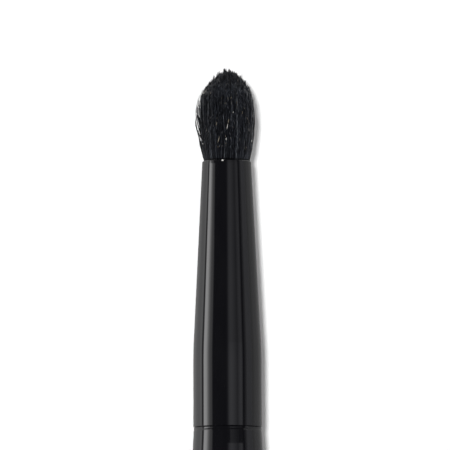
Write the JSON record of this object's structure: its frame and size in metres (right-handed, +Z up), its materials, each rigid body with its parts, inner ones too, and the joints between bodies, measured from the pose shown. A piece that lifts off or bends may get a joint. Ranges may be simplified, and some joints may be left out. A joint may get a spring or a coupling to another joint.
{
  "type": "smudger brush",
  "caption": "Slim eye make-up brush with a short dense domed hair tuft, a tapered metal ferrule and a lacquered wooden handle.",
  "frame": {"origin": "middle of the underside: the point on the table below the centre of the brush's box, as it lies on its belly", "axes": "+X along the brush towards the tip of the tuft, +Z up from the table it lies on"},
  "size_m": [0.17, 0.0098, 0.0099],
  "materials": {
    "handle_lacquer": "turned wood under a deep black high-gloss lacquer",
    "ferrule_metal": "drawn thin metal tube with a black high-gloss coating",
    "hair": "dyed black natural hair, soft sheen, a few lighter hairs",
    "thread": "undyed cotton thread",
    "glue": "cured amber epoxy"
  },
  "bodies": {
    "root": {"handle": "handle_lacquer", "ferrule": "ferrule_metal", "hair_tuft": "hair", "binding_thread": "thread", "glue_plug": "glue", "tenon_glue": "glue"}
  },
  "joints": []
}
